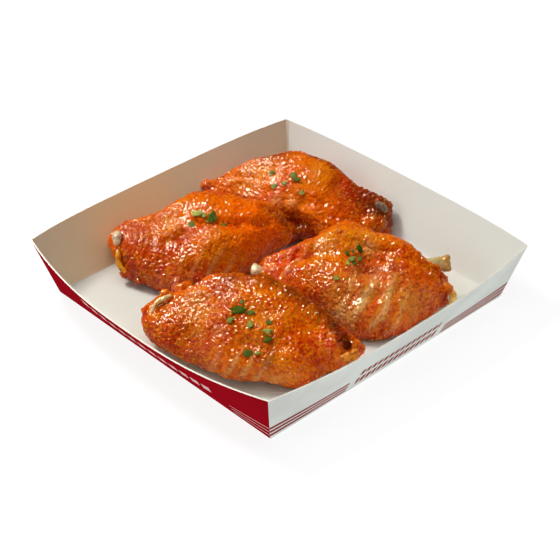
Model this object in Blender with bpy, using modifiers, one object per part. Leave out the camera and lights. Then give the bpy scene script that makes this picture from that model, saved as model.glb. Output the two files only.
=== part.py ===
"""Four glazed chicken wings in a folded paperboard tray, as closed solids at real size (metres, +Z up).

The origin is the middle of the tray's underside. The two near walls of the tray are the -X and -Y ones.
"""

import math

import bmesh
import bpy
from mathutils import Matrix, Vector, noise

# ---- tray ----------------------------------------------------------------------------------------
BASE_HALF = 0.0651          # half the side of the square base, outside
RIM_HALF = 0.0720           # half the distance between two rim corners, outside
WALL_RISE = 0.0261          # height of a rim corner above the table
BOARD = 0.0006              # paperboard thickness
BASE_CORNER_RADIUS = 0.0006
RIM_CORNER_RADIUS = 0.0016
WALL_STEPS = 14             # segments along one wall
CORNER_STEPS = 2            # segments round one corner
RISE_STEPS = 3              # segments up a wall
BOW = {"-Y": 0.0047, "+X": 0.0058, "+Y": 0.0080, "-X": 0.0079}   # how far each rim's middle leans out
BOW_SHAPE = 2.6             # power of the bow's fall towards the corners
WALL_SLANT = math.hypot(RIM_HALF - BASE_HALF, WALL_RISE)
SIDES = {                   # the turn that brings the -Y wall to each side
    side: Matrix.Rotation(quarter * math.pi / 2, 3, "Z")
    for quarter, side in enumerate(("-Y", "+X", "+Y", "-X"))
}

# ---- food ----------------------------------------------------------------------------------------
GAP = 0.0004                # clearance kept between pieces that touch
FLOOR = BOARD + GAP         # lowest level of anything lying in the tray
WING_RINGS = 30             # rings along a wing
WING_SIDES = 26             # points round a wing

BONE_RINGS = 8              # rings along a bone end
BONE_SIDES = 10             # points round a bone end
END_SHARE = 0.1             # share of a wing's length over which each end rounds off
BACK_ROUNDNESS = 0.85       # power of a wing's cross-section: below 1 it is squarer than an ellipse
LUMPS = ((16.0, 2.8), (7.0, 1.0))   # (spacing, height) of the lumps in the flesh, millimetres

MM = 0.001
SKIN = (0.52, 0.13, 0.015)
BONE = (0.72, 0.58, 0.36)
PAPER = (0.80, 0.77, 0.70)

# Each wing in millimetres and degrees; class Wing explains the names.
WINGS = {
    "wing_front": dict(
        length=90, place=(-35.0, -22.5, 10.8), turn=(14, 1, -56), twist=-4, arch=2, seed=1.3,
        far=((0, 8), (0.1, 10), (0.35, 21), (0.5, 20), (0.7, 13.5), (0.85, 7), (1, 4)),
        near=((0, 9), (0.1, 13), (0.2, 16), (0.5, 23.5), (0.7, 23.5), (0.8, 20.5), (0.9, 7), (1, 4)),
        crest=((0, 6), (0.2, 9), (0.45, 12), (0.8, 8), (1, 4)),
        belly=((0, 6), (0.25, 10), (0.5, 10), (0.8, 8), (1, 5)),
        swells=((0.45, 3.0, 0.35), (-0.45, 1.0, 0.3)),
    ),
    "wing_left": dict(
        length=79, place=(-6.2, 42.0, 11.0), turn=(14, 0, -40), twist=4, arch=1, seed=4.1,
        far=((0, 4), (0.1, 5), (0.3, 14), (0.5, 23), (0.7, 19), (0.9, 12), (1, 7)),
        near=((0, 8), (0.2, 24), (0.35, 30), (0.6, 27), (0.8, 14.5), (0.9, 7), (1, 5)),
        crest=((0, 6), (0.25, 9), (0.55, 13), (0.8, 10.5), (1, 7)),
        belly=((0, 6), (0.25, 10), (0.5, 10), (0.8, 9), (1, 5)),
        swells=((0.45, 3.0, 0.35), (-0.45, 2.0, 0.3)),
    ),
    "wing_right": dict(
        length=80, place=(21.0, -22.4, 11.2), turn=(15, 0, -49), twist=4, arch=1, seed=7.7,
        far=((0, 4), (0.1, 6), (0.25, 12.5), (0.42, 25), (0.6, 20), (0.8, 13), (0.9, 6), (1, 3)),
        near=((0, 6), (0.2, 15), (0.5, 31), (0.62, 33), (0.75, 30), (0.9, 18), (1, 12)),
        crest=((0, 3), (0.1, 5.5), (0.25, 10.5), (0.42, 13.5), (0.6, 11), (0.8, 10), (0.9, 6.5), (1, 4)),
        belly=((0, 5), (0.25, 9), (0.5, 10), (0.8, 9), (1, 6)),
        swells=((0.45, 3.0, 0.3), (0.0, -2.0, 0.2), (-0.45, 2.0, 0.3)),
    ),
    "wing_back": dict(
        length=84, place=(45.6, 38.6, 12.0), turn=(14, 0, -57), twist=0, arch=1, seed=9.2,
        far=((0, 2), (0.1, 1), (0.2, 10), (0.4, 15.5), (0.55, 19), (0.65, 17.5), (0.88, 2), (1, 1)),
        near=((0, 8), (0.2, 12), (0.4, 18), (0.58, 22), (0.75, 25.5), (0.9, 16), (1, 10)),
        crest=((0, 3), (0.1, 4.5), (0.2, 9.5), (0.4, 12), (0.55, 14), (0.75, 10), (0.88, 5.5), (1, 3)),
        belly=((0, 5), (0.25, 10), (0.5, 11), (0.8, 9), (1, 6)),
        swells=((0.45, 3.5, 0.35), (-0.45, 1.0, 0.3)),
    ),
}

# The bone ends and gristle that show at a wing's ends, in millimetres: the wing, three points that draw
# the middle line, and the radius at its two ends.
BONES = {
    "bone_front_elbow": (
        "wing_front", ((-62.5, 8.5, 15.5), (-57.0, 10.0, 19.5), (-49.0, 7.5, 21.5)), (1.2, 1.5)),
    "bone_front_knob": (
        "wing_front", ((-48.5, 8.0, 16.5), (-45.5, 11.5, 18.5), (-42.5, 15.0, 21.0)), (2.0, 1.7)),
    "bone_front_wrist": (
        "wing_front", ((-19.5, -52.5, 12.0), (-17.5, -55.5, 13.5), (-15.5, -58.5, 14.5)), (1.6, 1.6)),
    "bone_left_elbow": (
        "wing_left", ((-35.0, 60.0, 17.5), (-38.0, 59.0, 16.5), (-39.5, 57.0, 13.5)), (2.1, 2.3)),
    "bone_left_tendon": (
        "wing_left", ((-40.0, 55.0, 12.5), (-42.0, 52.5, 10.0), (-41.5, 50.0, 6.5)), (1.2, 1.3)),
    "bone_right_wrist": (
        "wing_right", ((-3.0, 3.0, 10.5), (-5.5, 5.5, 12.0), (-7.5, 7.5, 12.5)), (2.4, 2.7)),
    "bone_right_elbow": (
        "wing_right", ((36.0, -36.5, 14.0), (43.0, -42.5, 15.5), (49.5, -48.0, 15.5)), (2.6, 3.0)),
    "bone_right_tendon": (
        "wing_right", ((42.0, -55.0, 11.0), (43.0, -58.0, 8.5), (40.0, -60.0, 5.5)), (1.8, 1.6)),
    "bone_back_elbow": (
        "wing_back", ((60.0, 8.0, 13.0), (62.2, 4.0, 13.3), (64.0, 0.0, 13.0)), (2.2, 2.4)),
}


def material(name, colour, roughness):
    made = bpy.data.materials.new(name)
    made.use_nodes = True
    shader = made.node_tree.nodes["Principled BSDF"]
    shader.inputs["Base Color"].default_value = (*colour, 1.0)
    shader.inputs["Roughness"].default_value = roughness
    made.diffuse_color = (*colour, 1.0)
    return made


def new_object(name, bm, collection, finish):
    mesh = bpy.data.meshes.new(name)
    bm.to_mesh(mesh)
    bm.free()
    mesh.materials.append(finish)
    mesh.shade_smooth()
    made = bpy.data.objects.new(name, mesh)
    collection.objects.link(made)
    return made


# ---- tray ----------------------------------------------------------------------------------------
def wall_lean(side, along):
    """How far a wall's rim stands out from its foot, and how high, at along (-1 to 1) between its corners."""
    lean = RIM_HALF - BASE_HALF + BOW[side] * (1 - abs(along) ** BOW_SHAPE)
    return lean, math.sqrt(WALL_SLANT ** 2 - lean ** 2)


def tray_outline(rise):
    """The closed outline of the tray's outside at the share rise of the wall's slant, counter-clockwise."""
    half = BASE_HALF + (RIM_HALF - BASE_HALF) * rise
    radius = BASE_CORNER_RADIUS + (RIM_CORNER_RADIUS - BASE_CORNER_RADIUS) * rise
    points = []
    for side, turn in SIDES.items():
        for step in range(WALL_STEPS):
            along = 2 * step / WALL_STEPS - 1
            lean, height = wall_lean(side, along)
            points.append(turn @ Vector(((half - radius) * along, -BASE_HALF - lean * rise, height * rise)))
        for step in range(CORNER_STEPS):
            angle = -math.pi / 2 + math.pi / 2 * step / CORNER_STEPS
            centre = Vector((half - radius, radius - half, WALL_RISE * rise))
            points.append(turn @ (centre + radius * Vector((math.cos(angle), math.sin(angle), 0))))
    return points


def build_tray(collection):
    bm = bmesh.new()
    outline = tray_outline(0.0)
    bmesh.ops.create_circle(bm, cap_ends=True, radius=1.0, segments=len(outline))
    ring = sorted(bm.verts, key=lambda v: math.atan2(v.co.y, v.co.x))
    start = min(range(len(outline)), key=lambda i: math.atan2(outline[i].y, outline[i].x))
    order = outline[start:] + outline[:start]
    for vertex, point in zip(ring, order):
        vertex.co = point
    edges = [e for e in bm.edges if e.is_boundary]
    for row in range(1, RISE_STEPS + 1):
        raised = tray_outline(row / RISE_STEPS)
        raised = raised[start:] + raised[:start]
        grown = bmesh.ops.extrude_edge_only(bm, edges=edges)["geom"]
        lower = {tuple(round(c, 7) for c in p): q for p, q in zip(order, raised)}
        for vertex in (g for g in grown if isinstance(g, bmesh.types.BMVert)):
            vertex.co = lower[tuple(round(c, 7) for c in vertex.co)]
        edges = [g for g in grown if isinstance(g, bmesh.types.BMEdge) and g.is_boundary]
        order = raised
    bmesh.ops.recalc_face_normals(bm, faces=bm.faces)
    tray = new_object("tray", bm, collection, material("paperboard", PAPER, 0.6))
    board = tray.modifiers.new("board", "SOLIDIFY")
    board.thickness = BOARD
    board.offset = -1.0
    board.use_even_offset = True
    return tray


# ---- wings ---------------------------------------------------------------------------------------
class Wing:
    """One wing flat, drawn along +X, back up. A profile is pairs of (share of the length, size)."""

    def __init__(self, length, place, turn, twist, arch, seed, far, near, crest, belly, swells):
        self.length = length
        self.place = place      # where its middle lies in the tray
        self.turn = turn        # (roll about its length, pitch, heading)
        self.twist = twist      # turn of one end against the other
        self.arch = arch        # upward bow of the whole wing
        self.seed = seed        # picks its lumps
        self.far = far          # reach of the +Y edge from the middle line
        self.near = near        # reach of the -Y edge
        self.crest = crest      # height of the back over the middle plane
        self.belly = belly      # depth of the belly under the middle plane
        self.swells = swells    # (across, height, width) of each swelling or hollow along the back


def profile(stations, share):
    """A smooth curve through the stations, read at one share of the length."""
    last = len(stations) - 2
    i = next((n for n in range(last + 1) if share <= stations[n + 1][0]), last)
    (s0, v0), (s1, v1) = stations[i], stations[i + 1]
    before = stations[max(0, i - 1)]
    after = stations[min(last + 1, i + 2)]
    t = (share - s0) / (s1 - s0)
    slope0 = (v1 - before[1]) / (s1 - before[0]) * (s1 - s0)
    slope1 = (after[1] - v0) / (after[0] - s0) * (s1 - s0)
    return (
        v0 * (1 + 2 * t) * (1 - t) ** 2 + slope0 * t * (1 - t) ** 2
        + v1 * t * t * (3 - 2 * t) + slope1 * t * t * (t - 1)
    )


def end_round(share):
    """1 along the middle of a wing, falling to 0 at its two ends as a quarter circle does."""
    inside = min(1.0, share / END_SHARE, (1 - share) / END_SHARE)
    return math.sqrt(max(0.0, 1 - (1 - inside) ** 2))


def wing_point(wing, share, angle):
    """The surface point at a share of the length and an angle: 0 at the far edge, 90 on the back."""
    across, up = math.cos(angle), math.sin(angle)
    closing = end_round(share)
    middle = 1 - (2 * share - 1) ** 2
    y = closing * across * profile(wing.far if across > 0 else wing.near, share)
    rise = closing * abs(up) ** BACK_ROUNDNESS
    if up > 0:
        swell = sum(size * math.exp(-((across - centre) / width) ** 2) for centre, size, width in wing.swells)
        z = rise * (profile(wing.crest, share) + middle * swell)
    else:
        z = -rise * profile(wing.belly, share)
    turn = Matrix.Rotation(math.radians(wing.twist) * (share - 0.5), 3, "X")
    point = turn @ Vector((0, y, z)) + Vector(((share - 0.5) * wing.length, 0, wing.arch * middle))
    lumps = sum(
        height * noise.noise(point / spacing + Vector((wing.seed, 0, 0))) for spacing, height in LUMPS
    )
    return point + lumps * closing * Vector((0, across, up))


def inside_tray(point):
    """The point, brought in to the floor or the wall where it would lie beyond them."""
    point.z = max(point.z, FLOOR)
    for side, turn in SIDES.items():
        local = turn.inverted() @ point
        lean, height = wall_lean(side, max(-1.0, min(1.0, local.x / BASE_HALF)))
        reach = BASE_HALF + lean * point.z / height - FLOOR * WALL_SLANT / height
        local.y = max(local.y, -reach)
        point = turn @ local
    return point


def lie_in_tray(wing, point):
    """Turns and places a point of a wing."""
    roll, pitch, heading = (math.radians(a) for a in wing.turn)
    pose = Matrix.Rotation(heading, 3, "Z") @ Matrix.Rotation(pitch, 3, "Y") @ Matrix.Rotation(roll, 3, "X")
    return inside_tray((pose @ point + Vector(wing.place)) * MM)


def rounded_body(sides, rings, place):
    """A closed body from a ball: place(share, angle) gives each point of its surface."""
    bm = bmesh.new()
    bmesh.ops.create_uvsphere(bm, u_segments=sides, v_segments=rings, radius=1.0)
    for vertex in bm.verts:
        share = 0.5 + 0.5 * max(-1.0, min(1.0, vertex.co.z))
        vertex.co = place(share, math.atan2(vertex.co.y, vertex.co.x))
    return bm


def build_wing(name, wing, collection, finish):
    bm = rounded_body(
        WING_SIDES, WING_RINGS, lambda share, angle: lie_in_tray(wing, wing_point(wing, share, angle))
    )
    return new_object(name, bm, collection, finish)


# ---- bones ---------------------------------------------------------------------------------------
def bone_point(path, radii, grow, share, angle):
    """The surface point of a bone end whose surface stands out by grow."""
    start, middle, end = (Vector(point) * MM for point in path)
    spine = start.lerp(middle, share).lerp(middle.lerp(end, share), share)
    along = (middle - start).lerp(end - middle, share).normalized()
    across = along.cross(Vector((0, 0, 1))).normalized()
    closing = math.sqrt(math.sin(math.pi * share))
    radius = closing * ((radii[0] + (radii[1] - radii[0]) * share) * MM + grow)
    longer = (2 * share - 1) * grow * along
    return spine + longer + radius * (math.cos(angle) * across + math.sin(angle) * along.cross(across))


def build_bone(name, path, radii, grow, collection, finish):
    bm = rounded_body(
        BONE_SIDES, BONE_RINGS, lambda share, angle: bone_point(path, radii, grow, share, angle)
    )
    return new_object(name, bm, collection, finish)


def cut_socket(wing, cutter):
    cutter.hide_render = True
    cutter.display_type = "WIRE"
    socket = wing.modifiers.new(cutter.name, "BOOLEAN")
    socket.operation = "DIFFERENCE"
    socket.object = cutter


def main():
    for old in list(bpy.data.objects):
        bpy.data.objects.remove(old)
    serving = bpy.data.collections.new("wings_serving")
    cutters = bpy.data.collections.new("cutters")
    for collection in (serving, cutters):
        bpy.context.scene.collection.children.link(collection)
    build_tray(serving)
    skin = material("glazed_skin", SKIN, 0.35)
    wings = {name: build_wing(name, Wing(**sizes), serving, skin) for name, sizes in WINGS.items()}
    gristle = material("bone_and_gristle", BONE, 0.4)
    for name, (wing, path, radii) in BONES.items():
        build_bone(name, path, radii, 0.0, serving, gristle)
        cut_socket(wings[wing], build_bone(name + "_socket", path, radii, GAP, cutters, gristle))


main()
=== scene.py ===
import math

import bmesh
import bpy
import numpy as np
from mathutils import Matrix, Vector, noise
from mathutils.bvhtree import BVHTree


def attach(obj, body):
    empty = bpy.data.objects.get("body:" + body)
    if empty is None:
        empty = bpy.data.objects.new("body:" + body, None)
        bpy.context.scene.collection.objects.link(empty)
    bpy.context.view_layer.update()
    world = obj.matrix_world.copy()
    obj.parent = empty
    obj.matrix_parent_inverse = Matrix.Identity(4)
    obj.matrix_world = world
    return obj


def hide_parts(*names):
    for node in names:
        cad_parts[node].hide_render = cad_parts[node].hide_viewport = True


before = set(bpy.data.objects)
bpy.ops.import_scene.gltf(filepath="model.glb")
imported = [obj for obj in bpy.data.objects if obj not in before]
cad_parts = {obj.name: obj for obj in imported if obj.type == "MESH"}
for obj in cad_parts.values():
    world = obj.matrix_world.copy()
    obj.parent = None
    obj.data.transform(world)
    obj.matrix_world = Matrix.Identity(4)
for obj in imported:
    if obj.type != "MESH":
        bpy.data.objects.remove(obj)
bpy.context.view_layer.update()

MM = 0.001

# ---- camera --------------------------------------------------------------------------------------
AZIMUTH = -42.7             # degrees round the tray; 0 looks along +Y
ELEVATION = 35.3
DISTANCE = 0.688
TARGET = (0.0075, 0.0073, 0.0)
SENSOR = 36                 # width of the sensor, millimetres
LENS = 104.5
ROLL = -0.66
NEAREST = 0.01              # nothing closer than this is shown


def place_camera():
    azimuth, elevation, roll = math.radians(AZIMUTH), math.radians(ELEVATION), math.radians(ROLL)
    back = Vector((
        math.sin(azimuth) * math.cos(elevation),
        -math.cos(azimuth) * math.cos(elevation),
        math.sin(elevation),
    ))
    level = (-back).cross(Vector((0, 0, 1))).normalized()
    upright = level.cross(-back)
    right = math.cos(roll) * level + math.sin(roll) * upright
    up = math.cos(roll) * upright - math.sin(roll) * level
    bpy.ops.object.camera_add()
    camera = bpy.context.object
    camera.name = "camera"
    camera.data.sensor_width = SENSOR
    camera.data.lens = LENS
    camera.data.clip_start = NEAREST
    pose = Matrix((right, up, back)).transposed().to_4x4()
    pose.translation = Vector(TARGET) + back * DISTANCE
    camera.matrix_world = pose
    bpy.context.scene.camera = camera


# ---- light and floor -----------------------------------------------------------------------------
AREA_LIGHTS = {             # place, side of the square, watts, colour, lights surfaces, shows in gloss
    "back_softbox": ((-0.12, 0.50, 0.74), 0.20, 4.6, (1.0, 0.99, 0.975), True, False),
    "back_gleam": ((-0.12, 0.50, 0.74), 0.33, 38.0, (1.0, 0.88, 0.62), False, True),
    "window": ((-0.72, 0.25, 0.42), 0.30, 0.6, (1.0, 0.99, 0.98), True, True),
    "overhead": ((0.05, 0.05, 1.05), 0.90, 3.35, (1.0, 1.0, 1.0), True, False),
}
SKY = (1.0, 1.0, 1.0)
SKY_STRENGTH = 0.29
FLOOR_SIDE = 6.0
FLOOR_DROP = 0.0001         # the floor lies this far under the tray
FLOOR_GREY = (0.17, 0.17, 0.17)
FLOOR_GLOW = 0.88


def light_scene():
    for name, (place, side, watts, colour, diffuse, glossy) in AREA_LIGHTS.items():
        bpy.ops.object.light_add(type="AREA", location=place)
        lamp = bpy.context.object
        lamp.name = name
        lamp.rotation_euler = (-Vector(place)).to_track_quat("-Z", "Y").to_euler()
        lamp.data.size = side
        lamp.data.energy = watts
        lamp.data.color = colour
        lamp.visible_diffuse = diffuse
        lamp.visible_glossy = glossy
    world = bpy.data.worlds.new("studio")
    world.use_nodes = True
    background = world.node_tree.nodes["Background"]
    background.inputs["Color"].default_value = (*SKY, 1)
    background.inputs["Strength"].default_value = SKY_STRENGTH
    world.cycles_visibility.glossy = False
    bpy.context.scene.world = world
    bpy.context.scene.view_settings.view_transform = "Standard"


# ---- shader maths --------------------------------------------------------------------------------
def srgb(red, green, blue):
    """A colour given as it looks, 0 to 255, as the linear colour a shader takes."""
    channels = (value / 255 for value in (red, green, blue))
    return tuple(c / 12.92 if c <= 0.04045 else ((c + 0.055) / 1.055) ** 2.4 for c in channels)


class Flow:
    """A shader socket whose arithmetic adds Math nodes."""

    def __init__(self, finish, socket):
        self.finish = finish
        self.socket = socket

    def math(self, operation, first, second=0.0):
        return self.finish.node("Math", {"operation": operation}, {0: first, 1: second})

    def __add__(self, other):
        return self.math("ADD", self, other)

    def __sub__(self, other):
        return self.math("SUBTRACT", self, other)

    def __rsub__(self, other):
        return self.math("SUBTRACT", other, self)

    def __mul__(self, other):
        return self.math("MULTIPLY", self, other)

    def __abs__(self):
        return self.math("ABSOLUTE", self)

    __radd__ = __add__
    __rmul__ = __mul__


class Finish:
    """One material, built node by node."""

    def __init__(self, name):
        self.material = bpy.data.materials.new(name)
        self.material.use_nodes = True
        self.tree = self.material.node_tree
        self.tree.nodes.clear()
        self.place = self.node("TexCoord", output="Object")

    def node(self, kind, settings=None, inputs=None, output=0):
        made = self.tree.nodes.new("ShaderNode" + kind)
        for name, value in (settings or {}).items():
            setattr(made, name, value)
        for name, value in (inputs or {}).items():
            socket = made.inputs[name]
            if isinstance(value, Flow):
                self.tree.links.new(value.socket, socket)
            elif socket.type == "RGBA":
                socket.default_value = (*value[:3], 1)
            else:
                socket.default_value = value
        return Flow(self, made.outputs[output])

    def parts(self, vector):
        """The three numbers of a vector."""
        split = self.node("SeparateXYZ", None, {0: vector})
        return [Flow(self, socket) for socket in split.socket.node.outputs]

    def noise(self, size, detail=2.0, roughness=0.5, distortion=0.0):
        """Noise from 0 to 1 whose lumps are about size metres across."""
        return self.node("TexNoise", None, {
            "Vector": self.place, "Scale": 1 / size, "Detail": detail,
            "Roughness": roughness, "Distortion": distortion,
        })

    def rise(self, value, low, high):
        """0 below low, 1 above high, smooth between."""
        return self.node("MapRange", {"interpolation_type": "SMOOTHSTEP"}, {
            "Value": value, "From Min": low, "From Max": high,
        })

    def blend(self, first, second, share):
        """The first colour, turned into the second by share."""
        return self.node("Mix", {"data_type": "RGBA"}, {0: share, 6: first, 7: second}, output=2)

    def painted(self, name, output="Fac"):
        """An attribute that the mesh carries."""
        return self.node("Attribute", {"attribute_name": name}, output=output)

    def bump(self, height, depth, under=None):
        """A bump normal over the one under it; height 0 to 1 stands for depth metres."""
        inputs = {"Height": height, "Distance": depth}
        if under:
            inputs["Normal"] = under
        return self.node("Bump", None, inputs)

    def close(self, **inputs):
        """Ends the material in one Principled shader; an underscore in a name stands for a space."""
        named = {name.replace("_", " "): value for name, value in inputs.items()}
        surface = self.node("BsdfPrincipled", None, named)
        end = self.tree.nodes.new("ShaderNodeOutputMaterial")
        self.tree.links.new(surface.socket, end.inputs["Surface"])
        return self.material


# ---- modelling helpers ---------------------------------------------------------------------------
BALL_DETAIL = 3             # subdivisions of each ball that joins into a wing or a bone


def only(piece):
    """Selects one piece alone."""
    bpy.ops.object.select_all(action="DESELECT")
    piece.select_set(True)
    bpy.context.view_layer.objects.active = piece


def added(name):
    """The primitive that was just added, under its own name."""
    piece = bpy.context.object
    piece.name = name
    piece.data.name = name
    return piece


def add_ball(x, y, z, radius):
    """Adds a ball; all in millimetres."""
    bpy.ops.mesh.primitive_ico_sphere_add(
        subdivisions=BALL_DETAIL, radius=radius * MM, location=(x * MM, y * MM, z * MM))


def apply_modifier(piece, kind, **settings):
    modifier = piece.modifiers.new(kind.lower(), kind)
    for name, value in settings.items():
        setattr(modifier, name, value)
    only(piece)
    bpy.ops.object.modifier_apply(modifier=modifier.name)


def remesh(piece, voxel, rounds):
    """Joins all of the active piece into one closed skin of fine even faces, and smooths it."""
    piece.data.remesh_voxel_size = voxel
    bpy.ops.object.voxel_remesh()
    apply_modifier(piece, "SMOOTH", factor=0.5, iterations=rounds)


def vertex_rows(piece, field):
    rows = np.empty(len(piece.data.vertices) * 3)
    piece.data.vertices.foreach_get(field, rows)
    return rows.reshape(-1, 3)


def points_of(piece):
    """Where the vertices are, in millimetres."""
    return vertex_rows(piece, "co") / MM


def push_out(piece, points, height):
    """Puts each vertex at its point, moved by height along its normal; all in millimetres."""
    points += height[:, None] * vertex_rows(piece, "normal")
    return points


def set_points(piece, points):
    piece.data.vertices.foreach_set("co", (points * MM).astype(np.float32).ravel())
    piece.data.update()


def paint(piece, name, values):
    """Stores one number per vertex, or one colour per vertex."""
    if values.ndim == 1:
        layer = piece.data.attributes.new(name, "FLOAT", "POINT")
        layer.data.foreach_set("value", values.astype(np.float32))
        return
    layer = piece.data.attributes.new(name, "FLOAT_COLOR", "POINT")
    full = np.ones((len(values), 4), np.float32)
    full[:, :3] = values
    layer.data.foreach_set("color", full.ravel())


def dress(piece, material, node):
    """Gives a finished piece its material and its body, shades it smooth, and hides the node that it stands
    for.
    """
    piece.data.materials.append(material)
    piece.data.shade_smooth()
    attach(piece, "root")
    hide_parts(node)


def smooth_step(values, low, high):
    share = np.clip((values - low) / (high - low), 0, 1)
    return share * share * (3 - 2 * share)


def blend_towards(colour, tone, share):
    return colour + (np.array(tone) - colour) * np.clip(share, 0, 1)[:, None]


def lumps(points, spacing, seed=0.0):
    """Soft noise, about -1 to 1, at points in millimetres."""
    return np.array([noise.noise(p) for p in (points / spacing + seed).tolist()])


def layered_lumps(points, layers):
    """The sum of some layers of lumps: rise, spacing, seed."""
    return sum(rise * lumps(points, spacing, seed) for rise, spacing, seed in layers)


def cobbles(points, spacing, seed=0.0):
    """1 on top of each rounded cobble, 0 in the joints between them."""
    cells = [noise.voronoi(p)[0][:2] for p in (points / spacing + seed).tolist()]
    first, second = np.array(cells).T
    return np.clip((second - first) * 1.6, 0, 1) ** 0.6


def blisters(points, spacing, share, reach, seed=0.0):
    """Small round domes, 1 at the top and 0 outside, on a share of scattered places."""
    height = np.zeros(len(points))
    for number, point in enumerate((points / spacing + seed).tolist()):
        distances, places = noise.voronoi(point)
        if noise.cell(places[0] * 7.3) < share:
            height[number] = max(0.0, 1 - (distances[0] / reach) ** 2)
    return height


def bell(points, place, radius):
    """1 at a place, and fading away round it."""
    return np.exp(-(np.linalg.norm(points - place, axis=1) / radius) ** 2)


def path_distance(points, path):
    """Distance from each point to a polyline, and the share of its length at the nearest place."""
    path = np.array(path, float)
    steps = np.linalg.norm(np.diff(path, axis=0), axis=1)
    starts = np.concatenate(([0], np.cumsum(steps)))
    nearest = np.full(len(points), np.inf)
    share = np.zeros(len(points))
    for start, end, length, run in zip(path[:-1], path[1:], steps, starts):
        t = np.clip((points - start) @ (end - start) / length ** 2, 0, 1)
        distance = np.linalg.norm(points - (start + t[:, None] * (end - start)), axis=1)
        closer = distance < nearest
        nearest[closer] = distance[closer]
        share[closer] = (run + t[closer] * length) / starts[-1]
    return nearest, share


# ---- tray ----------------------------------------------------------------------------------------
BASE_HALF = 0.0651          # half the side of the square base, outside
RIM_HALF = 0.0720           # half the distance between two rim corners, outside
WALL_RISE = 0.0261          # height of a rim corner above the table
WALL_LEAN = RIM_HALF - BASE_HALF
BOARD = 0.0006              # paperboard thickness
BOW = {"-Y": 0.0047, "+X": 0.0058, "+Y": 0.0080, "-X": 0.0079}   # how far each rim's middle leans out
BOW_SHAPE = 2.6
WALL_SLANT = math.hypot(WALL_LEAN, WALL_RISE)
SIDES = {                   # the turn that brings the -Y wall to each side
    side: Matrix.Rotation(quarter * math.pi / 2, 3, "Z")
    for quarter, side in enumerate(("-Y", "+X", "+Y", "-X"))
}
BASE_CELLS = 36
RISE_ROWS = 8
FLAT = 1e-5                 # what lies lower than this is the base
FOLD_ROUND = 0.0005
FOLD_ANGLE = 30             # degrees; a sharper edge is a fold
SHADE_ANGLE = 35
WALL_SLOTS = {"-X": 0, "+X": 0, "-Y": 1, "+Y": 3}
BASE_SLOT = 2
INNER_SLOTS = 4             # an outer face's slot and this make its inner face's
EDGE_SLOTS = 8              # and this its cut edge's
CRIMSON = srgb(158, 14, 28)
DARK_INK = srgb(140, 0, 18)
PALE_INK = srgb(228, 196, 192)
WHITE_BOARD = srgb(230, 234, 228)
SHADED_BOARD = srgb(212, 213, 206)
FLECK = srgb(205, 200, 186)
CORNER_SHADE = srgb(214, 200, 174)
# Painted shade with warm light bounced from the wings: the tan of the inside of the +Y wall.
BUFF_SHADE = srgb(238, 206, 158)
PLAIN_FACES = {             # ground, the warmer tone of its clouds, the tan of the wall's middle, painted shade and bounced warm light
    "board_underside": (WHITE_BOARD, srgb(232, 226, 214), None),
    "board_inside": (WHITE_BOARD, srgb(236, 234, 222), None),
    "board_floor": (SHADED_BOARD, srgb(214, 209, 196), None),
    "board_inside_painted_shade": (WHITE_BOARD, srgb(236, 230, 214), BUFF_SHADE),
}
CORNER_STRIP = (BASE_HALF - 0.0026, BASE_HALF - 0.0023)   # where the strip of painted shade at a corner's fold begins
SHADE_MIDDLE = -0.016        # where the painted shade is strongest, metres along the wall, and how far it reaches
SHADE_REACH = 0.06


def wall_lean(side, along):
    """How far out and how high a wall's rim is from its foot, at along (-1 to 1) between its corners."""
    lean = WALL_LEAN + BOW[side] * (1 - abs(along) ** BOW_SHAPE)
    return lean, math.sqrt(WALL_SLANT ** 2 - lean ** 2)


def wall_of(point):
    """The side that a point lies towards, and the point turned to the -Y wall's place."""
    side = max(SIDES, key=lambda s: -(SIDES[s].inverted() @ point).y)
    return side, SIDES[side].inverted() @ point


def fold_up_walls():
    """The square base, with its walls drawn up from its edges row by row."""
    bpy.ops.object.select_all(action="DESELECT")
    bpy.ops.mesh.primitive_grid_add(
        x_subdivisions=BASE_CELLS, y_subdivisions=BASE_CELLS, size=2 * BASE_HALF)
    tray = added("board_tray")
    bpy.ops.object.mode_set(mode="EDIT")
    bpy.ops.mesh.select_mode(type="EDGE")
    bpy.ops.mesh.select_all(action="DESELECT")
    bpy.ops.mesh.select_non_manifold()
    for row in range(RISE_ROWS):
        before = BASE_HALF + WALL_LEAN * row / RISE_ROWS
        after = BASE_HALF + WALL_LEAN * (row + 1) / RISE_ROWS
        bpy.ops.mesh.extrude_edges_move(
            TRANSFORM_OT_translate={"value": (0, 0, WALL_RISE / RISE_ROWS)})
        bpy.ops.transform.resize(value=(after / before, after / before, 1), center_override=(0, 0, 0))
    bpy.ops.mesh.select_all(action="SELECT")
    bpy.ops.mesh.normals_make_consistent(inside=False)
    bpy.ops.object.mode_set(mode="OBJECT")
    return tray


def bow_walls(tray):
    """Leans the middle of each rim out, at the wall's own slant length."""
    for vertex in tray.data.vertices:
        if vertex.co.z < FLAT:
            continue
        rise = vertex.co.z / WALL_RISE
        side, local = wall_of(vertex.co)
        half = BASE_HALF + WALL_LEAN * rise
        lean, height = wall_lean(side, local.x / half)
        vertex.co = SIDES[side] @ Vector((local.x, -BASE_HALF - lean * rise, height * rise))


def draw_print_map(tray):
    """UV map for the print: metres along a wall from its middle, and the share of its rise."""
    layer = tray.data.uv_layers.new(name="wall")
    for face in tray.data.polygons:
        side, _ = wall_of(face.center)
        face.material_index = BASE_SLOT if face.center.z < FLAT else WALL_SLOTS[side]
        for corner in face.loop_indices:
            point = tray.data.vertices[tray.data.loops[corner].vertex_index].co
            local = SIDES[side].inverted() @ point
            _, height = wall_lean(side, max(-1, min(1, local.x / RIM_HALF)))
            layer.data[corner].uv = (local.x, point.z / height)


def board_grain(finish):
    """Fine fibres and a faint unevenness of uncoated board."""
    fibres = finish.noise(0.0006, detail=3, roughness=0.6)
    waves = finish.noise(0.014, detail=2)
    return finish.bump(fibres, 0.00004, finish.bump(waves, 0.00012))


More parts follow.
